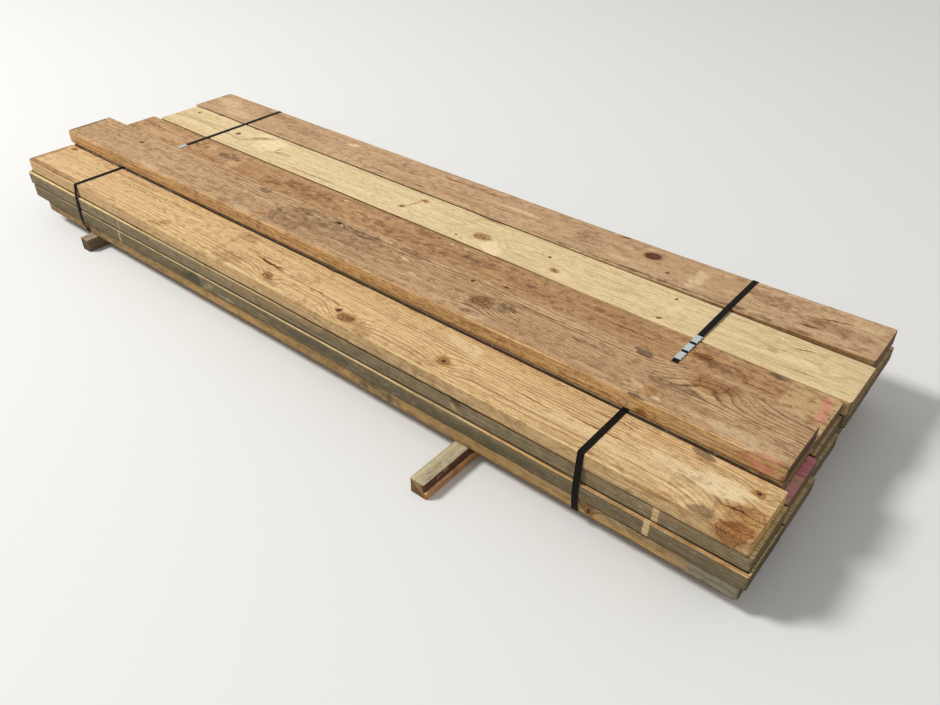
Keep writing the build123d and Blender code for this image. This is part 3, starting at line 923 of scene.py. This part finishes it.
def growthRings(add, grain, lumps, yearWidth):
    # the distance from the pith, pushed out by knots and bent by waves in the grain, counted in
    # years; each year's summer wood makes a dark line, in some years a fainter one
    bulge = add("Attribute", attribute_name="bulge").outputs["Fac"]
    spoke = add("VectorMath", {0: grain, 1: (0.0, 1.0, 1.0)}, operation="MULTIPLY")
    radius = add("VectorMath", {0: spoke}, operation="LENGTH").outputs["Value"]
    for source, reach in [(bulge, 1.0), (lumps["slow"], 9.0), (lumps["fast"], 2.4)]:
        radius = add("Math", {0: source, 1: reach, 2: radius}, operation="MULTIPLY_ADD")
    years = add("Math", {0: radius, 1: yearWidth}, operation="DIVIDE")
    season = add("Math", {0: years}, operation="FRACT")
    steps = [(at, (grey, grey, grey, 1)) for at, grey in summerLine]
    line = add("ValToRGB", {"Fac": season}, ramp=steps)
    year = add("Math", {0: years}, operation="FLOOR")
    strength = add("TexWhiteNoise", {"W": year}, noise_dimensions="1D")
    strength = add("MapRange", {"Value": strength, "To Min": 0.4, "To Max": 1.0})
    return add("Math", {0: line, 1: strength}, operation="MULTIPLY")


def layStripes(add, colour, place, lumps, stripes):
    # pale marks where banding lay before, as (row X, half width, strength), with ragged edges
    for at, half, strength in stripes:
        x = add("SeparateXYZ", {0: place}).outputs[0]
        along = add("Math", {0: x, 1: at / 1000}, operation="SUBTRACT")
        ragged = add("Math", {0: lumps["patch"], 1: 0.007, 2: -0.0035}, operation="MULTIPLY_ADD")
        gap = add("Math", {0: add("Math", {0: along}, operation="ABSOLUTE"), 1: ragged}, operation="ADD")
        edges = {"From Min": (half + 1.5) / 1000, "From Max": (half - 1.5) / 1000}
        share = add("MapRange", {"Value": gap, **edges, "To Max": strength})
        colour = add("Mix", {0: share, 6: colour, 7: hexColour(pineTones["stripe"])}, data_type="RGBA")
    return colour


def distanceToKnot(add, shaken, x, y, z, halfLength, halfWidth, halfHeight, turn=0):
    # 0 at a knot's middle and 1 on its outline
    local = add("Mapping", {
        "Vector": shaken, "Location": (x / 1000, y / 1000, z / 1000),
        "Rotation": (0.0, 0.0, math.radians(turn)),
        "Scale": (halfLength / 1000, halfWidth / 1000, halfHeight / 1000),
    }, vector_type="TEXTURE")
    return add("VectorMath", {0: local}, operation="LENGTH").outputs["Value"]


def layKnots(add, colour, place, lumps, knots):
    # knots and cracks, at places shaken by noise, so that they get ragged outlines
    shaken = place
    for scale, reach in [(24.0, 0.018), (95.0, 0.009), (300.0, 0.003)]:
        noise = add("TexNoise", {"Vector": place, "Scale": scale, "Detail": 2.0})
        shift = add("VectorMath", {0: noise.outputs["Color"], 1: (0.5, 0.5, 0.5)}, operation="SUBTRACT")
        reaches = (reach, reach, reach * 0.4)
        shaken = add("VectorMath", {0: shift, 1: reaches, 2: shaken}, operation="MULTIPLY_ADD")
    for kind, tints in knotTints.items():
        if kind not in knots:
            continue
        nearest = None
        for knot in knots[kind]:
            far = distanceToKnot(add, shaken, *knot)
            nearest = add("Math", {0: far, 1: nearest}, operation="MINIMUM") if nearest else far
        end = tints[-1][0]
        ragged = add("Math", {0: lumps["patch"], 1: 0.8, 2: nearest}, operation="MULTIPLY_ADD")
        within = add("Math", {0: ragged, 1: 1 / end, 2: -0.4 / end}, operation="MULTIPLY_ADD")
        knot = add("ValToRGB", {"Fac": within}, ramp=[(at / end, hexColour(code)) for at, code in tints])
        colour = add("Mix", {0: 1.0, 6: colour, 7: knot}, data_type="RGBA", blend_type="MULTIPLY")
    return colour


def layCover(add, colour, place, cover):
    # painted shade where the board above lies on the top face: behind the line y = a + b x, and
    # between the upper board's ends
    nearLow, nearHigh, first, last = cover
    slope = (nearHigh - nearLow) / layout["stackLength"]
    start = (nearLow + slope * layout["middleX"] - layout["middleY"]) / 1000
    first, last = (first - layout["middleX"]) / 1000, (last - layout["middleX"]) / 1000
    x, y, _ = add("SeparateXYZ", {0: place}).outputs
    nearLine = add("Math", {0: x, 1: slope, 2: start}, operation="MULTIPLY_ADD")
    behind = add("Math", {0: y, 1: nearLine}, operation="SUBTRACT")
    fromLeft = add("Math", {0: x, 1: first}, operation="SUBTRACT")
    fromRight = add("Math", {0: last, 1: x}, operation="SUBTRACT")
    within = add("Math", {0: fromLeft, 1: fromRight}, operation="MINIMUM")
    within = add("Math", {0: within, 1: behind}, operation="MINIMUM")
    under = add("MapRange", {"Value": within, "From Min": -0.0012, "From Max": 0.0012})
    normal = add("SeparateXYZ", {0: add("TexCoord").outputs["Normal"]}).outputs
    upward = add("MapRange", {"Value": normal[2], "From Min": 0.2, "From Max": 0.6})
    share = add("Math", {0: under, 1: upward}, operation="MULTIPLY")
    shadeAndDirt = hexColour(pineTones["covered"])
    return add("Mix", {0: share, 6: colour, 7: shadeAndDirt}, data_type="RGBA", blend_type="MULTIPLY")


def sawnPine(name, wood, looks, cover=None, endAxis=0):
    # Rough-sawn, treated radiata pine left outdoors: matt, with soft pale spring wood, darker lines
    # of summer wood that follow the log's rings, brown weathering in blotches, and knots whose
    # dense hearts show darker than the wood round them. The rings come from the grain attribute,
    # which is each point's place in the log, in millimetres.
    material, add = newMaterial(name)
    place = add("TexCoord").outputs["Object"]
    grain = add("Attribute", attribute_name="grain").outputs["Vector"]
    marks = add("Attribute", attribute_name="marks")
    tone = add("Attribute", attribute_name="tone")
    brown, grey, pale = add("SeparateColor", {0: marks.outputs["Color"]}).outputs
    pink, arris = marks.outputs["Alpha"], tone.outputs["Alpha"]
    lumps = pineNoises(add, grain)
    late = growthRings(add, grain, lumps, wood["ring"])

    # the wood's own shade, from 0 (as dark as weather) to 1 (pale): a sum of the noises
    weights = {
        "fibre": 1.5, "thread": 1.5, "grit": 2.1, "band": 1.0,
        "patch": 1.3 * wood["mottle"], "blotch": 1.0 * wood["brown"] + 0.3,
    }
    shade = 0.69 - sum(weights.values()) / 2
    for key, weight in weights.items():
        inputs = {0: lumps[key], 1: weight, 2: shade}
        shade = add("Math", inputs, operation="MULTIPLY_ADD", use_clamp=key == "blotch")
    dark, summer = shadeOf(wood["weather"], wood["spring"]), shadeOf(wood["summer"], wood["spring"])
    tint = add("Mix", {0: shade, 6: dark, 7: (1.0, 1.0, 1.0, 1.0)}, data_type="RGBA")
    colour = add("Mix", {0: 1.0, 6: tone.outputs["Color"], 7: tint}, data_type="RGBA", blend_type="MULTIPLY")
    colour = layStripes(add, colour, place, lumps, looks["stripes"])

    # the lines are worn away where the wood is pale, and strong on the sawn ends
    worn = add("MapRange", {"Value": pale, "From Max": 0.8, "To Min": 1.0, "To Max": 0.35})
    lines = add("Math", {0: late, 1: worn}, operation="MULTIPLY")
    facing = add("SeparateXYZ", {0: add("TexCoord").outputs["Normal"]}).outputs[endAxis]
    endOn = add("Math", {0: facing}, operation="ABSOLUTE")
    endLines = add("Math", {0: late, 1: endOn}, operation="MULTIPLY")

    # layers over it, from the bottom up: what drives each, the values between which it comes in,
    # how much of it shows, its colour, how it is laid on, and the noise that breaks it up
    grit, mottle = lumps["grit"], wood["mottle"]
    browner = 0.16 * wood["brown"]
    layers = [
        (pale, 0.25, 0.9, 0.6, hexColour(pineTones["pale"]), "MIX", "patch"),
        (lines, 0.0, 1.0, wood["lines"], summer, "MULTIPLY", "fibre"),
        (endLines, 0.2, 1.0, 0.9, summer, "MULTIPLY", None),
        (lumps["blotch"], 0.64 - browner, 0.84 - browner, 0.3, dark, "MULTIPLY", "patch"),
        (brown, 0.15, 0.95, 0.5, dark, "MULTIPLY", "patch"),
        (grey, 0.15, 0.95, 0.8, hexColour(wood["smudge"]), "MIX", "patch"),
        (pink, 0.1, 1.3, 0.9, hexColour(pineTones["pink"]), "MIX", "grit"),
        (grit, 0.6, 0.72, 0.7 * mottle, dark, "MULTIPLY", "patch"),
        (grit, 0.35, 0.27, 0.28 * mottle, hexColour(pineTones["speck"]), "MIX", "patch"),
        (arris, 0.3, 1.0, 0.3, hexColour(pineTones["arris"]), "SOFT_LIGHT", "patch"),
        (endOn, 0.6, 0.9, 1.0, hexColour(looks["endShade"]), "MULTIPLY", None),
    ]
    for driver, low, high, most, laid, way, breaker in layers:
        if breaker:
            spread = {"From Min": 0.3, "From Max": 0.65, "To Min": 0.35, "To Max": 1.6}
            gaps = add("MapRange", {"Value": lumps[breaker], **spread})
            driver = add("Math", {0: driver, 1: gaps}, operation="MULTIPLY")
        reach = {"From Min": low, "From Max": high, "To Max": most}
        share = add("MapRange", {"Value": driver, **reach}, interpolation_type="SMOOTHSTEP")
        colour = add("Mix", {0: share, 6: colour, 7: laid}, data_type="RGBA", blend_type=way)
    colour = layKnots(add, colour, place, lumps, looks["knots"])
    # painted shade in the groove under the near board of the layer above
    if cover:
        colour = layCover(add, colour, place, cover)

    # summer wood stands proud of worn spring wood
    relief = add("Math", {0: late, 1: 0.6, 2: lumps["fibre"]}, operation="MULTIPLY_ADD")
    relief = add("Math", {0: grit, 1: 0.5, 2: relief}, operation="MULTIPLY_ADD")
    bump = add("Bump", {"Height": relief, "Strength": 0.5, "Distance": 0.0008})
    matt = {"From Min": 0.3, "From Max": 0.7, "To Min": 0.7, "To Max": 0.86}
    dullness = add("MapRange", {"Value": lumps["fibre"], **matt})
    shader = add("BsdfPrincipled", {
        "Base Color": colour, "Roughness": dullness, "Specular IOR Level": 0.25, "Normal": bump,
    })
    add("OutputMaterial", {"Surface": shader})
    return material


boards = [
    stackedBoard(layer, column)
    for layer in range(layout["layers"]) for column in range(layout["columns"])
]
for board in boards + [looseBoard()]:
    looks = board["looks"]
    piece = boardMesh(board)
    pine = sawnPine(board["name"] + "_pine", woods[looks["wood"]], looks, board["cover"])
    piece.data.materials.append(pine)
    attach(piece, "root")
    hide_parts(board["name"])
print("boards made")


# Bearers

# The two battens under the stack. corners is the section, as (across, up) in millimetres; tones
# gives each of its faces a colour, in the same order as the corners that they start from.
bearers = {
    "left_bearer": {
        "x": 331.5, "nearY": -44.0, "seed": 901, "pith": (20, -60), "endShade": "#c2b5a6",
        "corners": [(0, 0), (47, 0), (47, 50), (17, 50), (17, 47), (14, 47), (14, 50), (0, 50)],
        # the groove's dark walls and floor are painted shade
        "tones": [
            "#6b5a4a", "#86705c", "#bda58c", "#5a4636", "#43352a", "#5a4636", "#bda58c", "#8a7664",
        ],
    },
    "right_bearer": {
        "x": 2193.0, "nearY": -182.0, "seed": 902, "pith": (30, -45), "endShade": "#cdb999",
        "corners": [(0, 0), (57, 0), (57, 23), (49, 23), (49, 50), (0, 50)],
        # the upper right side's dark brown is painted shade, and the ledge top's pale orange a painted
        # highlight
        "tones": ["#7c6a50", "#dca26c", "#ffcf98", "#6a4430", "#cbbd97", "#a89878"],
    },
}
bearerSize = {"length": 1200.0, "arris": 1.6, "sideStep": 6.0, "lengthStep": 9.0, "endEase": 1.5}
bearerWear = {"grain": 0.25, "end": 0.5, "endReach": 8.0, "endArris": 0.9}
battenPine = dict(
    woods["pine_grey_green"],
    spring="#c4b48c", summer="#94866a", weather="#8a7a5e", ring=4.2, lines=0.7, mottle=0.8,
)


def roundedOutline(corners, radius, step):
    # a polygon whose corners are small arcs and whose sides are divided every step or so: points,
    # outward directions, and the number of the side that each belongs to
    corner = np.array(corners, float)
    forward = np.roll(corner, -1, 0) - corner
    length = np.linalg.norm(forward, axis=1)
    way = forward / length[:, None]
    out = np.stack([way[:, 1], -way[:, 0]], 1)
    quarter = np.array([1, 2, 3])[:, None] / 4 * math.pi / 2
    points, outward, side = [], [], []
    for k in range(len(corner)):
        count = max(2, round((length[k] - 2 * radius) / step) + 1)
        along = np.linspace(radius, length[k] - radius, count)[:, None]
        points.append(corner[k] + way[k] * along)
        outward.append(np.repeat(out[k:k + 1], count, 0))
        side.append(np.full(count, k))
        # the arc into the next side, from this side's end to that side's start
        after = (k + 1) % len(corner)
        turn = np.sign(way[k][0] * way[after][1] - way[k][1] * way[after][0])
        centre = corner[after] - way[k] * radius - out[k] * radius * turn
        arcOut = out[k] * np.cos(quarter) + out[after] * np.sin(quarter)
        points.append(centre + arcOut * radius * turn)
        outward.append(arcOut)
        side.append(np.full(len(quarter), after))
    return np.concatenate(points), np.concatenate(outward), np.concatenate(side)


def bearerMesh(name, bearer):
    # the rounded section carried along Y, drawn in by its worn arrises at both ends and closed there
    size, wearing = bearerSize, bearerWear
    points, outward, side = roundedOutline(bearer["corners"], size["arris"], size["sideStep"])
    length, ease, seed = size["length"], size["endEase"], bearer["seed"]
    body = np.arange(ease, length - ease, size["lengthStep"])
    stations = np.concatenate([[0.0], body, [length - ease, length]])
    across, up = points[:, 0], points[:, 1]
    y = np.broadcast_to(stations[:, None], (len(stations), len(points)))
    wear = wearing["grain"] * (1 + waves(y, across + up, seed, longest=80, count=6, stretch=3.0))
    wear += wearing["end"] * np.exp(-np.minimum(y, length - y) / wearing["endReach"])
    wear += np.where((stations == 0) | (stations == length), wearing["endArris"], 0.0)[:, None]
    x = across - outward[:, 0] * wear
    z = np.maximum(up - outward[:, 1] * wear, 0)
    z = np.where(outward[:, 1] < -0.5, up, z)    # the underside stays flat on the floor
    placed = np.stack([x + bearer["x"], y + bearer["nearY"], z], -1)
    thing = meshObject(name + "_batten", placed.reshape(-1, 3), gridFaces(*y.shape) + endFaces(*y.shape))

    # where each point lies in the log, the colour of its face, brown weathering in patches on top,
    # and a pale band along the top's left edge
    pithX, pithZ = bearer["pith"]
    grain = np.stack([
        y,
        x - pithX - 4 * waves(y, 0 * y, seed + 1, longest=900, count=3),
        z - pithZ + 3 * waves(y, 0 * y, seed + 2, longest=700, count=3),
    ], -1)
    tones = np.array([hexColour(code)[:3] for code in bearer["tones"]])
    tone = np.broadcast_to(tones[side], (*y.shape, 3))
    onTop = outward[:, 1] > 0.5
    marks = np.zeros((*y.shape, len(markChannels)))
    patches = waves(y, across, seed + 3, longest=200, count=5, stretch=3.0)
    weathered = softStep(patches, -0.3, 0.6)
    marks[..., markChannels.index("brown")] = 0.5 * weathered * onTop
    marks[..., markChannels.index("pale")] = 0.6 * onTop * np.exp(-((across - 10) / 9) ** 2)
    putPineAttributes(thing.data, grain, np.zeros(y.shape), marks, tone, np.zeros(y.shape))
    finishMesh(thing)
    return thing


for name, bearer in bearers.items():
    looks = {**bareLooks, "endShade": bearer["endShade"]}
    piece = bearerMesh(name, bearer)
    piece.data.materials.append(sawnPine(name + "_pine", battenPine, looks, endAxis=1))
    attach(piece, "root")
    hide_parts(name)
print("bearers made")


# Straps and seals

# Steel strapping pulled tight round the four layers, with its sizes in millimetres.
straps = {
    "left_strap": {"x": 317.0, "phase": 951},
    "right_strap": {"x": 2591.0, "phase": 952},
}
strapSize = {
    "width": 19.0,
    "thickness": 1.0,
    "clearance": 0.2,       # between the band and the boards
    "turnRadius": 4.0,
    "step": 10.0,           # between points along a straight
    "climbGap": 12.0,       # from the loose board to where the right strap starts to climb
    "sway": 0.35,           # how far the band wanders to the side, and over what length
    "swayLength": 310.0,
}

# Folded seals that close the straps: how far past the loose board's far side the left one and the
# first of the right ones lie, how many lie on the right, and how far apart.
sealPlaces = {"left": 77.0, "right": 97.0, "count": 3, "pitch": 49.0}
looseFarY = boardSize["looseNearY"] + boardSize["width"]
seals = {"left_seal": {"strap": "left_strap", "y": looseFarY + sealPlaces["left"]}}
for k in range(sealPlaces["count"]):
    y = looseFarY + sealPlaces["right"] + k * sealPlaces["pitch"]
    seals[f"right_seal_{k + 1}"] = {"strap": "right_strap", "y": y}
sealSize = {
    "length": 37.0,
    "halfWidth": 10.7,
    "height": 2.4,
    "wall": 1.0,
    "bend": 1.2,            # radius of the fold along each side
    "notchDepth": 2.0,
    "notchHalf": 3.2,       # half a notch's length
    "notchGap": 9.0,        # from the seal's middle to a notch's
    "pinched": (4.5, 0.5),  # from the side, where the pinch begins and where it is full
    "dish": 0.3,            # how far the top is pressed in between two notches
    "dishHalf": 5.0,
    "stations": 61,
}

# The finishes: paint under dust and with bare metal where it is rubbed, and zinc with its flakes.
strapTones = {"paint": "#0d0b09", "dust": "#2a2018", "rubbed": "#33312f"}
sealTones = {"zinc": "#c6cecf", "flake": "#9fa8ab"}


def bowHeight(x):
    # how far the bowed far board is lifted at x
    start = layout["stackLength"] + rightOverhangs[-1][-1] - boardSize["bowLength"]
    reach = max(0.0, x - start)
    return bowRadius - math.sqrt(bowRadius ** 2 - reach ** 2)


def climb(x):
    # the strap's climb to the bowed board: Y where it starts, Y where it ends, and its height
    end = nearFace(layout["layers"] - 1, x) + boardOffset(layout["layers"] - 1, layout["columns"] - 1)
    return looseFarY + strapSize["climbGap"], end, bowHeight(x)


def tightOutline(points):
    # corners of the tightest outline round a set of points, anticlockwise
    ordered = sorted(points)

    def half(run):
        # its lower half, or its upper half from a run backwards: a point is dropped again where
        # the outline would turn clockwise or go straight on
        kept = []
        for point in run:
            while len(kept) > 1:
                (ay, az), (by, bz) = kept[-2:]
                if (by - ay) * (point[1] - az) - (bz - az) * (point[0] - ay) > 1e-6:
                    break
                kept.pop()
            kept.append(point)
        return kept[:-1]

    return half(ordered) + half(ordered[::-1])


def strapCorners(x):
    # where the strap turns, as (Y, Z), anticlockwise seen from the right end
    corners = []
    for layer in range(layout["layers"]):
        near, low = nearFace(layer, x), layerFloor(layer)
        far, high = near + boardOffset(layer, layout["columns"]), low + layout["layerHeight"]
        corners += [(near, low), (near, high), (far, low), (far, high)]
    outline = tightOutline(corners)
    start, end, rise = climb(x)
    if rise:
        farY, top = corners[-1]
        at = outline.index(corners[-1])
        outline[at:at + 1] = [(farY, top + rise), (end, top + rise), (start, top)]
    return outline


def strapLoop(corners):
    # the strap's middle line: each corner becomes an arc round a point drawn inwards from it, and
    # the straights between are divided every step; returns places (Y, Z) and outward directions
    size = strapSize
    corner = np.array(corners)
    forward = np.roll(corner, -1, 0) - corner
    way = forward / np.linalg.norm(forward, axis=1)[:, None]
    out = np.stack([way[:, 1], -way[:, 0]], 1)
    before = np.roll(out, 1, 0)
    half = (before + out) / np.linalg.norm(before + out, axis=1)[:, None]
    centre = corner - half * (size["turnRadius"] / np.sum(half * out, 1))[:, None]
    reach = size["turnRadius"] + size["clearance"] + size["thickness"] / 2
    start = np.arctan2(before[:, 1], before[:, 0])
    sweep = (np.arctan2(out[:, 1], out[:, 0]) - start + math.pi) % (2 * math.pi) - math.pi
    places, outward = [], []
    for k in range(len(corner)):
        angle = start[k] + sweep[k] * np.linspace(0, 1, 7)
        normal = np.stack([np.cos(angle), np.sin(angle)], 1)
        places.append(centre[k] + reach * normal)
        outward.append(normal)
        # the straight from this arc to the next one's start
        first, last = centre[k] + reach * out[k], centre[(k + 1) % len(corner)] + reach * out[k]
        count = max(1, int(np.linalg.norm(last - first) / size["step"]))
        share = (np.arange(1, count) / count)[:, None]
        places.append(first + (last - first) * share)
        outward.append(np.repeat(out[k:k + 1], len(share), 0))
    return np.concatenate(places), np.concatenate(outward)


def strapMesh(name, strap):
    # a thin band with rounded edges: point (i, j) is the loop's place i, moved by section point j
    # along X and outwards
    size = strapSize
    places, outward = strapLoop(strapCorners(strap["x"]))
    thick = size["thickness"] / 2
    flatHalf = size["width"] / 2 - thick
    angle = np.linspace(-math.pi / 2, math.pi / 2, 5)
    cos, sin = thick * np.cos(angle), thick * np.sin(angle)
    flat = np.linspace(-1, 1, 9)[1:-1] * flatHalf
    above = np.full(len(flat), thick)
    across = np.concatenate([flatHalf + cos, flat[::-1], -flatHalf - cos, flat])
    up = np.concatenate([sin, above, sin[::-1], -above])
    run = np.concatenate([[0], np.cumsum(np.linalg.norm(np.diff(places, axis=0), axis=1))])[:, None]
    x = strap["x"] + across + size["sway"] * np.sin(run / size["swayLength"] + strap["phase"])
    point = places[:, None, :] + outward[:, None, :] * up[:, None]
    placed = np.concatenate([x[..., None], point], -1)
    thing = meshObject(name + "_band", placed.reshape(-1, 3), gridFaces(*x.shape, closedRows=True))
    band = np.stack(np.broadcast_arrays(run, across, up), -1)
    putAttribute(thing.data, "band", "FLOAT_VECTOR", band)
    finishMesh(thing)
    return thing


def sealMesh(name, seal):
    # a folded sleeve: its open C-shaped section is carried along the strap, and its sides are
    # pinched in by two pairs of notches where the crimping tool bit
    size, x = sealSize, straps[seal["strap"]]["x"]
    half, height, bend = size["halfWidth"], size["height"], size["bend"]
    hollow, roof = half - size["wall"], height - size["wall"]
    turn = np.linspace(0, math.pi / 2, 5)
    fold = np.stack([half - bend + bend * np.cos(turn), height - bend + bend * np.sin(turn)], 1)
    side = np.concatenate([[(half, 0.0), (half, 0.6)], fold])
    top = [(place, height) for place in np.linspace(half - bend, bend - half, 11)[1:-1]]
    inner = [(-hollow, 0.0), (-hollow, roof), (hollow, roof), (hollow, 0.0)]
    across, up = np.concatenate([side, top, side[::-1] * (-1, 1), inner]).T

    along = np.linspace(-size["length"] / 2, size["length"] / 2, size["stations"])[:, None]
    pinch = np.zeros(along.shape)
    for middle in (-size["notchGap"], size["notchGap"]):
        pinch += np.clip(1 - ((along - middle) / size["notchHalf"]) ** 2, 0, 1) ** 0.5
    edge = softStep(np.abs(across), *(half - gap for gap in size["pinched"]))
    across = across - np.sign(across) * edge * pinch * size["notchDepth"]
    fromMiddle = np.clip(across / size["dishHalf"], -1, 1)
    pressed = np.cos(fromMiddle * math.pi / 2) * (up > height - 0.2)
    up = up - size["dish"] * pinch * pressed

    # laid along the strap where that climbs
    start, end, rise = climb(x)
    slope = rise / (end - start)
    lift = layerFloor(layout["layers"]) + slope * max(0.0, seal["y"] - start)
    tilt = math.atan(slope)
    y = seal["y"] + along * math.cos(tilt) - up * math.sin(tilt)
    z = lift + along * math.sin(tilt) + up * math.cos(tilt)
    placed = np.stack([x + across, y, z], -1)
    thing = meshObject(name + "_sleeve", placed.reshape(-1, 3), gridFaces(*y.shape) + endFaces(*y.shape))
    finishMesh(thing)
    return thing


def blackStrapping():
    # Painted steel strapping: smooth black paint with a satin sheen, dusted brown and rubbed
    # through in fine lines along the band.
    material, add = newMaterial("painted_steel_strapping")
    band = add("Attribute", attribute_name="band").outputs["Vector"]
    dustPlace = add("VectorMath", {0: band, 1: (1 / 60, 1 / 9, 1.0)}, operation="MULTIPLY")
    dust = add("TexNoise", {"Vector": dustPlace, "Scale": 1.0, "Detail": 4.0, "Roughness": 0.6})
    rubPlace = add("VectorMath", {0: band, 1: (1 / 45, 1 / 0.7, 1.0)}, operation="MULTIPLY")
    rub = add("TexNoise", {"Vector": rubPlace, "Scale": 1.0, "Detail": 2.0})
    colour = hexColour(strapTones["paint"])
    for noise, low, high, most, tone in [(dust, 0.4, 0.75, 0.25, "dust"), (rub, 0.66, 0.8, 0.5, "rubbed")]:
        reach = {"From Min": low, "From Max": high, "To Max": most}
        share = add("MapRange", {"Value": noise, **reach}, interpolation_type="SMOOTHSTEP")
        colour = add("Mix", {0: share, 6: colour, 7: hexColour(strapTones[tone])}, data_type="RGBA")
    sheen = add("MapRange", {"Value": dust, "To Min": 0.6, "To Max": 0.85})
    bump = add("Bump", {"Height": rub, "Strength": 0.2, "Distance": 0.0002})
    shader = add("BsdfPrincipled", {
        "Base Color": colour, "Roughness": sheen, "Specular IOR Level": 0.1, "Normal": bump,
    })
    add("OutputMaterial", {"Surface": shader})
    return material


def galvanisedSteel():
    # Zinc-coated seals: pale blue-grey metal, faintly spangled in flakes of about 4 mm, with fine
    # scratches that dull it.
    material, add = newMaterial("galvanised_steel")
    place = add("TexCoord").outputs["Object"]
    flakes = add("TexVoronoi", {"Vector": place, "Scale": 260.0})
    scratchPlace = add("VectorMath", {0: place, 1: (2200.0, 160.0, 160.0)}, operation="MULTIPLY")
    scratch = add("TexNoise", {"Vector": scratchPlace, "Scale": 1.0, "Detail": 2.0})
    shade = add("MapRange", {"Value": flakes.outputs["Color"], "To Min": 0.0, "To Max": 0.5})
    zinc, flake = hexColour(sealTones["zinc"]), hexColour(sealTones["flake"])
    colour = add("Mix", {0: shade, 6: zinc, 7: flake}, data_type="RGBA")
    reach = {"From Min": 0.35, "From Max": 0.7, "To Min": 0.34, "To Max": 0.56}
    dull = add("MapRange", {"Value": scratch, **reach})
    bump = add("Bump", {"Height": scratch, "Strength": 0.15, "Distance": 0.0002})
    shader = add("BsdfPrincipled", {
        "Base Color": colour, "Metallic": 0.85, "Roughness": dull, "Normal": bump,
    })
    add("OutputMaterial", {"Surface": shader})
    return material


strapPaint, sealZinc = blackStrapping(), galvanisedSteel()
for name, strap in straps.items():
    piece = strapMesh(name, strap)
    piece.data.materials.append(strapPaint)
    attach(piece, "root")
    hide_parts(name)
for name, seal in seals.items():
    piece = sealMesh(name, seal)
    piece.data.materials.append(sealZinc)
    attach(piece, "root")
    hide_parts(name)
print("straps and seals made")


# Floor, light and camera

studio = {
    "floor": "#e9e8e4",
    "floorReach": 30.0,
    "backdrop": (0.93, 0.93, 0.92, 1.0),
    "fillStrength": 0.45,
    "keyPower": 1330.0,
    "keySize": 3.0,
    "keyFrom": (-6.4, -5.5, 10.1),
}

# The camera's place in the row frame, and how it looks from there, in degrees: azimuth is how far
# its level axis is turned from X, elevation how far it looks down, and roll how far it is tipped.
# Found from the stack's edges.
photoView = {
    "place": (1.803168, -1.781027, 1.618208),
    "azimuth": 38.8291,
    "elevation": 36.6581,
    "roll": 0.7183,
    "lens": 31.60,
    "sensor": 36.0,
}


def studioFloor():
    # one flat square of matt paper under the stack
    reach = studio["floorReach"]
    corners = [(-reach, -reach, 0), (reach, -reach, 0), (reach, reach, 0), (-reach, reach, 0)]
    mesh = bpy.data.meshes.new("studio_floor")
    mesh.from_pydata(corners, [], [(0, 1, 2, 3)])
    floor = bpy.data.objects.new("studio_floor", mesh)
    bpy.context.scene.collection.objects.link(floor)
    material, add = newMaterial("floor_paper")
    shader = add("BsdfPrincipled", {"Base Color": hexColour(studio["floor"]), "Roughness": 0.9})
    add("OutputMaterial", {"Surface": shader})
    mesh.materials.append(material)


def axesMatrix(right, up, back, place):
    # a lamp's or camera's place and axes as one matrix
    rows = [[right[k], up[k], back[k], place[k]] for k in range(3)]
    return Matrix(rows + [[0, 0, 0, 1]])


def studioLight():
    # an even white world that shows as a pale backdrop, and one large round lamp from above
    world = bpy.data.worlds.new("studio_world")
    bpy.context.scene.world = world
    world.use_nodes = True
    world.node_tree.nodes.clear()
    add = functools.partial(addNode, world.node_tree)
    fill = add("Background", {"Color": (1.0, 1.0, 1.0, 1.0), "Strength": studio["fillStrength"]})
    shown = add("Background", {"Color": studio["backdrop"], "Strength": 1.0})
    ray = add("LightPath").outputs
    seen = add("Math", {0: ray["Is Camera Ray"], 1: ray["Is Glossy Ray"]}, operation="MAXIMUM")
    seen = add("Math", {0: seen, 1: ray["Is Transmission Ray"]}, operation="MAXIMUM")
    mixed = add("MixShader", {0: seen, 1: fill, 2: shown})
    add("OutputWorld", {"Surface": mixed})

    lamp = bpy.data.lights.new("key_softbox", "AREA")
    lamp.shape = "DISK"
    lamp.size = studio["keySize"]
    lamp.energy = studio["keyPower"]
    key = bpy.data.objects.new("key_softbox", lamp)
    bpy.context.scene.collection.objects.link(key)
    place = np.array(studio["keyFrom"])
    back = place / np.linalg.norm(place)
    side = np.cross((0, 0, 1), back)
    side /= np.linalg.norm(side)
    key.matrix_world = axesMatrix(side, np.cross(back, side), back, place)


def photoCamera():
    # the camera's axes from its angles: level is its right side before it is tipped, back points
    # from what it looks at to the camera, and the roll turns its right and up sides about that
    azimuth, elevation, roll = (math.radians(photoView[key]) for key in ("azimuth", "elevation", "roll"))
    level = np.array([math.cos(azimuth), math.sin(azimuth), 0.0])
    flat = np.array([math.sin(azimuth), -math.cos(azimuth), 0.0])
    back = flat * math.cos(elevation) + np.array([0.0, 0.0, math.sin(elevation)])
    levelUp = np.cross(back, level)
    right = level * math.cos(roll) + levelUp * math.sin(roll)
    up = levelUp * math.cos(roll) - level * math.sin(roll)
    data = bpy.data.cameras.new("photo_camera")
    data.sensor_width = photoView["sensor"]
    data.lens = photoView["lens"]
    data.clip_end = 200.0
    camera = bpy.data.objects.new("photo_camera", data)
    bpy.context.scene.collection.objects.link(camera)
    camera.matrix_world = axesMatrix(right, up, back, photoView["place"])
    bpy.context.scene.camera = camera


studioFloor()
studioLight()
photoCamera()
bpy.context.scene.view_settings.view_transform = "Standard"
print("stage, light and camera set")
